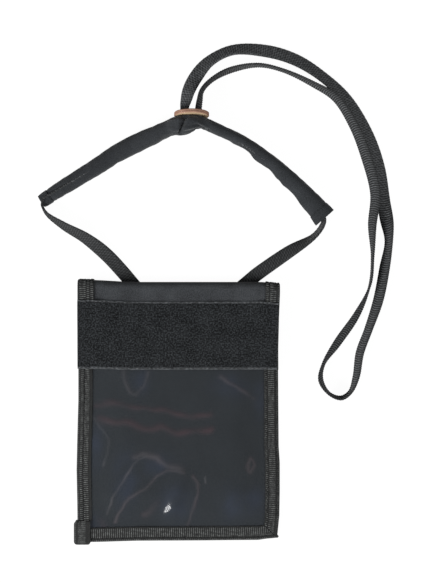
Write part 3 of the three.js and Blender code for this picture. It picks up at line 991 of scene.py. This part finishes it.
def fold():
    """The roll of cloth over the top and its two bindings."""
    angle = grid(-math.pi / 2, math.pi / 2, 0.7 / FOLD_RADIUS)[:, None]
    x = grid(flap_low[0], flap_high[0], 1.6)[None, :]
    straight = np.zeros_like(angle)
    straight[0] = straight[-1] = HINGE_GAP

    def roll(radius):
        points = round_fold(x + 0 * angle, radius + 0 * x * angle, angle + 0 * x)
        points[..., 1] -= straight
        return points

    shell = cloth("fold_shell", roll(FOLD_RADIUS), roll(FOLD_RADIUS - FABRIC), shell_fabric, "shell_fabric")
    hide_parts("flap_fold")
    width = flap_high[0] - flap_low[0]

    pieces = [shell]
    for name, node, edge, side, width, columns in (
        ("fold_left_tape", "fold_binding_left", LEFT, 1, FLAP_BINDING_LEFT, FLAP_LEFT_COLUMNS),
        ("fold_right_tape", "fold_binding_right", RIGHT, -1, BINDING, FLAP_RIGHT_COLUMNS),
    ):
        def place(along, inward, height, edge=edge, side=side):
            angle = along / FOLD_RADIUS
            beyond = height - flap_high[2]
            slack = 0.35 * np.square(np.cos(angle)) * (beyond > 0)
            radius = FOLD_RADIUS + beyond - slack
            points = round_fold(edge + side * inward, radius, angle)
            points[..., 1] -= HINGE_GAP * smooth((np.abs(angle) - 1.2) / 0.37)
            return points

        section = folded_tape(width, FLAP_UNDER, FLAP_OVER, FLAP_BEND)
        reach = FOLD_RADIUS * math.pi / 2
        piece = bind(name, place, reach, -reach, section, columns)
        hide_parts(node)
        pieces.append(piece)
    for piece in pieces:
        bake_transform(piece)


flap()
fold()


# How far in each line of stitches runs.
LEFT_SEAM, RIGHT_SEAM, BOTTOM_SEAM, TAPE_SEAM = 4.75, 2.5, 2.55, 0.75
ZIGZAG_SEAM, ZIGZAG_WIDTH = 8.9, 1.3


def pouch_thread():
    """The lines of stitching along the bindings, and just inside the long edges of the flap's tape."""

    def row(point, x, y, height):
        line = point(np.asarray(x, float), np.asarray(y, float), height)
        return stitch_row(line, (0, 0, 1))

    y = grid(corner_high[1] + 1, FLAP_EDGE + 6, 2)
    x = grid(bottom_low[0] + 1, RIGHT - 6, 2)
    top = SEWN_TOP + 0.12
    body = row(pouch_point, LEFT + LEFT_SEAM + 0 * y, y, top)
    body += row(pouch_point, RIGHT - RIGHT_SEAM + 0 * y, y, top)
    body += row(pouch_point, x, BOTTOM + BOTTOM_SEAM + 0 * x, top)
    zigzag = grid(BOTTOM + BINDING + 1, FLAP_EDGE + 6, RIB_PITCH)
    inset = ZIGZAG_SEAM + ZIGZAG_WIDTH * (np.arange(len(zigzag)) % 2)
    for a, b in zip(range(len(zigzag) - 1), range(1, len(zigzag))):
        ends = pouch_point(RIGHT - inset[[a, b]], zigzag[[a, b]], top)
        share = np.linspace(0, 1, 5)[:, None]
        body.append(ends[0] + (ends[1] - ends[0]) * share + (0, 0, 0.12) * np.sin(math.pi * share))
    sew("pouch_stitches", "pouch", body)

    x = grid(field_low[0] + 1.5, field_high[0] - 1.5, 2)
    height = flap_high[2] + 0.75 + over_binding(x)
    upper = row(flap_point, x, field_high[1] - TAPE_SEAM + 0 * x, height)
    lower = row(flap_point, x, field_low[1] + TAPE_SEAM + 0 * x, height)
    sew("flap_stitches", "flap", upper + lower)


pouch_thread()


# ---------- the neck sleeve ----------

# Along the sleeve: its middle, then half its width and half its height, all in millimetres.
SLEEVE = (
    (-99.1, 154.1, 4.2, 4.4, 3.6),
    (-94.9, 156.8, 4.5, 4.9, 4.0),
    (-84.3, 163.8, 4.8, 5.5, 4.3),
    (-64.7, 175.8, 5.0, 6.0, 4.6),
    (-42.4, 189.9, 5.2, 6.6, 4.8),
    (-26.0, 198.4, 5.8, 6.7, 5.3),
    (-15.0, 203.0, 7.0, 6.4, 6.4),
    (-5.5, 207.4, 8.4, 6.0, 7.4),
    (1.0, 208.8, 10.4, 7.0, 10.0),
    (8.0, 210.8, 11.6, 7.0, 11.4),
    (14.0, 212.0, 10.4, 5.2, 10.0),
    (20.0, 210.6, 8.8, 4.5, 7.8),
    (30.0, 206.6, 6.8, 4.2, 5.8),
    (45.3, 199.4, 5.6, 4.4, 5.1),
    (61.9, 187.6, 5.1, 5.4, 4.7),
    (77.8, 174.4, 5.3, 6.1, 5.1),
    (92.8, 159.5, 5.5, 7.0, 5.3),
    (102.5, 149.3, 5.5, 7.6, 5.3),
    (108.6, 142.4, 5.4, 8.0, 5.1),
)
# Its small creases: how far from its mouth, and their depth, width and slant.
SLEEVE_CREASES = (
    (-14.0, 0.8, 2.0, -2.0), (8.5, 0.9, 1.6, -1.8), (-21, 0.5, 2.2, 3.0), (16, 0.5, 2.0, 2.5),
    (-58, 0.35, 3.0, 4.0), (47, 0.35, 3.0, -4.0), (84, 0.5, 2.6, 3.0),
)
SLEEVE_WALL = 0.7
SCALLOP_START, SCALLOP_LENGTH, SCALLOP_DEPTH = 43.5, 18, 1.3  # the waves along the right arm's near edge
MOUTH_X = 9.5
DISC_TOUCH = 2.25  # from the disc's middle plane to the face of the sleeve that is pressed against it
TOUCH_RADIUS = 15.5

DISC_LEAN = math.radians(8)
disc_low, disc_high = box_mm("slider_disc")
disc_middle = (disc_low + disc_high) / 2


def neck_sleeve():
    """A soft tube round the strap, open at both ends and where the strap leaves it for the disc."""
    line, distance = smooth_line(np.array(SLEEVE), 0.6)
    centre, half_width, half_height = line[:, :3], line[:, 3:4], line[:, 4:5]
    _, right, up = line_frame(centre)
    along = distance[:, None]
    middle = distance[np.argmin(np.abs(centre[:, 0] - MOUTH_X))]
    mouth = np.radians(4 + 62 * hump((along - middle) / 7.5))
    share = np.linspace(0, 1, 72)[None, :]
    angle = math.pi - mouth / 2 - share * (math.tau - mouth)
    away = np.abs(along - middle)
    near = smooth((np.cos(angle) + 0.1) / 0.8)

    front = np.clip(np.sin(angle), 0, 1) ** 0.6 * smooth((np.cos(angle) + 0.7) / 0.4)
    from_tuck = along - middle + 3.8 + 4.6 * np.cos(angle)
    creases = front * (4.8 * hump(from_tuck / 1.25) - 0.7 * hump((from_tuck + 3.4) / 2.4))
    for from_middle, depth, width, slant in SLEEVE_CREASES:
        creases += near * depth * hump((along - middle - from_middle + slant * np.cos(angle)) / width)
    on_right_arm = smooth((centre[:, :1] - 36) / 10) * smooth((102 - centre[:, :1]) / 10)
    scallops = 0.5 - 0.5 * np.cos(math.tau * (centre[:, :1] - SCALLOP_START) / SCALLOP_LENGTH)
    creases += SCALLOP_DEPTH * near * on_right_arm * scallops
    folds = 0.14 * ripple(along, angle * 9, 22, 23) + 0.12 * ripple(along, angle * 6, 9, 24)
    gathers = 0.55 * hump(away / 14) * np.sin(9 * angle + 0.35 * along)
    from_end = np.minimum(along, distance[-1] - along)
    hem = 0.3 * smooth((8 - from_end) / 0.8) - 0.25 * hump((from_end - 8) / 0.8)
    flare = 0.9 * smooth((10 - (distance[-1] - along)) / 10) * np.maximum(0, np.cos(angle + 0.6))

    def surface(inset):
        reach = -creases + folds + gathers + hem + flare - inset
        squared = np.sign(np.cos(angle)) * np.abs(np.cos(angle)) ** (0.85 - 0.3 * hump(away / 14))
        side = (half_width + reach) * squared
        rise = (half_height + reach * 0.8) * np.sin(angle)
        points = centre[:, None] + side[..., None] * right[:, None] + rise[..., None] * up[:, None]
        points[..., 2] = np.maximum(points[..., 2], 0.15 + inset)
        face_y = disc_middle[1] - DISC_TOUCH + (points[..., 2] - disc_middle[2]) * math.tan(DISC_LEAN) - inset
        beside = np.hypot(points[..., 0] - disc_middle[0], points[..., 2] - disc_middle[2])
        pressed = smooth((TOUCH_RADIUS - beside) / 2.5)
        points[..., 1] -= pressed * np.maximum(0, points[..., 1] - face_y)
        return points

    piece = cloth("soft_neck_sleeve", surface(0), surface(SLEEVE_WALL), sleeve_fabric, "sleeve_fabric")
    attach(piece, "pouch")
    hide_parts("neck_sleeve")

    rows = []
    for at in (7.0, distance[-1] - 7.0):
        row = np.argmin(np.abs(distance - at))
        ring = surface(0)[row, 8:64]
        outward = (ring - centre[row]) / np.linalg.norm(ring - centre[row], axis=1, keepdims=True)
        rows += stitch_row(ring, outward.mean(axis=0) * 0.3, 2.0, 1.0)
    sew("sleeve_stitches", "pouch", rows)
    return piece


sleeve = neck_sleeve()


# ---------- the sliding disc ----------


def lathe(name, profile, sides):
    """A closed solid of revolution about Z from (radius, height) points that start and end on the axis."""
    turn = np.linspace(0, math.tau, sides, endpoint=False)
    work = bmesh.new()
    rings = []
    for radius, height in profile:
        if radius == 0:
            rings.append([work.verts.new((0, 0, height * MM))] * sides)
        else:
            ring = [(radius * MM * math.cos(a), radius * MM * math.sin(a), height * MM) for a in turn]
            rings.append([work.verts.new(point) for point in ring])
    for low, high in zip(rings, rings[1:]):
        for j in range(sides):
            corners = [low[j], low[(j + 1) % sides], high[(j + 1) % sides], high[j]]
            work.faces.new(list(dict.fromkeys(corners)))
    bmesh.ops.recalc_face_normals(work, faces=work.faces)
    mesh = bpy.data.meshes.new(name)
    work.to_mesh(mesh)
    work.free()
    piece = bpy.data.objects.new(name, mesh)
    bpy.context.scene.collection.objects.link(piece)
    return piece


DISC_THICKNESS = 3.0
HOLE_PLACE = 5.0  # how far each hole's middle is from the disc's


def slider_disc():
    """A disc of leather with rounded edges, and a flared hole for each strand."""
    radius = (disc_high[0] - disc_low[0]) / 2
    half = DISC_THICKNESS / 2
    rim = [(radius - 0.9, 0), (radius - 0.35, 0.12), (radius, 0.5)]
    rim += [(radius, half - 0.25), (radius - 0.3, half)]
    lower = [(r, h - half) for r, h in rim]
    upper = [(r, half - h) for r, h in reversed(rim)]
    face = [0, 4, 8, 10.5]
    profile = [(r, -half) for r in face] + lower + upper[1:] + [(r, half) for r in reversed(face)]
    disc = lathe("slider_disc_leather", profile, 120)
    for side in (-1, 1):
        flare = [(0, -4), (4.6, -4), (4.6, -2.4), (3.45, -1.5), (3.1, -0.9)]
        cutter = lathe("hole_cutter", flare + [(r, -h) for r, h in reversed(flare)], 40)
        cutter.location.x = side * HOLE_PLACE * MM
        cut = disc.modifiers.new("hole", "BOOLEAN")
        cut.object = cutter
        cut.solver = "EXACT"
        bpy.context.view_layer.update()
        whole = bpy.data.meshes.new_from_object(disc.evaluated_get(bpy.context.evaluated_depsgraph_get()))
        disc.modifiers.clear()
        disc.data = whole
        bpy.data.objects.remove(cutter)
    mesh = disc.data
    height = np.array([vertex.co.z for vertex in mesh.vertices]) / MM
    out = np.array([vertex.co.xy.length for vertex in mesh.vertices]) / MM
    flat = (np.abs(height) > half - 0.2) & (out < radius - 0.5)
    mesh.attributes.new("raised", "FLOAT", "POINT").data.foreach_set("value", flat.astype(np.float32))
    mesh.materials.clear()
    mesh.materials.append(slider_leather)
    mesh.shade_smooth()
    disc.rotation_euler = (-math.pi / 2 - DISC_LEAN, 0, 0)
    disc.location = disc_middle * MM
    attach(disc, "slider")
    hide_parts("slider_disc")
    return disc


disc = slider_disc()


# ---------- stage, light and camera ----------


LAYOUT_MIDDLE = (0.03, 0.08, 0)
WINDOW_LOW_MIDDLE = (0.0, -0.07, 0)
CAMERA_PLACE = (0.0298, 0.0883, 1.19)
WORLD_LIGHT = 0.24


def plain(name, height, base, glow):
    """A level surface of one grey, which glows a little."""
    bpy.ops.mesh.primitive_plane_add(size=6, location=(0.03, 0.09, height))
    surface = bpy.context.object
    surface.name = name
    look = Look(name, Base_Color=(base, base, base, 1), Roughness=1.0, Specular_IOR_Level=0.0)
    look.shader.inputs["Emission Color"].default_value = (1, 1, 1, 1)
    look.shader.inputs["Emission Strength"].default_value = glow
    surface.data.materials.append(look.material)
    return surface


def stage():
    """A near-white floor that throws no light back, over a grey one that throws back a little."""
    floor = plain("floor", -0.0006, 0.10, 0.96)
    floor.visible_diffuse = False
    floor.visible_glossy = False
    plain("table", -0.0012, 0.10, 0.0)

    world = bpy.data.worlds.new("studio")
    bpy.context.scene.world = world
    world.use_nodes = True
    world.node_tree.nodes["Background"].inputs["Color"].default_value = (1, 1, 1, 1)
    world.node_tree.nodes["Background"].inputs["Strength"].default_value = WORLD_LIGHT


def softbox(name, place, target, size, power):
    """A square light of size metres and power watts, turned towards target."""
    light = bpy.data.lights.new(name, "AREA")
    light.shape = "SQUARE"
    light.size = size
    light.energy = power
    lamp = bpy.data.objects.new(name, light)
    lamp.location = place
    lamp.rotation_euler = (Vector(target) - Vector(place)).to_track_quat("-Z", "Y").to_euler()
    bpy.context.scene.collection.objects.link(lamp)


def camera():
    """Straight above the layout, looking down."""
    lens = bpy.data.cameras.new("camera")
    lens.lens = 100
    lens.sensor_width = 36
    eye = bpy.data.objects.new("camera", lens)
    eye.location = CAMERA_PLACE
    bpy.context.scene.collection.objects.link(eye)
    bpy.context.scene.camera = eye
    bpy.context.scene.view_settings.view_transform = "Standard"


stage()
softbox("key", (-1.15, -0.8, 0.8), LAYOUT_MIDDLE, 0.8, 29.0)
softbox("fill", (1.25, -0.35, 0.55), LAYOUT_MIDDLE, 0.7, 2.4)
softbox("glint", (1.1, -0.35, 1.0), WINDOW_LOW_MIDDLE, 0.24, 5.0)
camera()
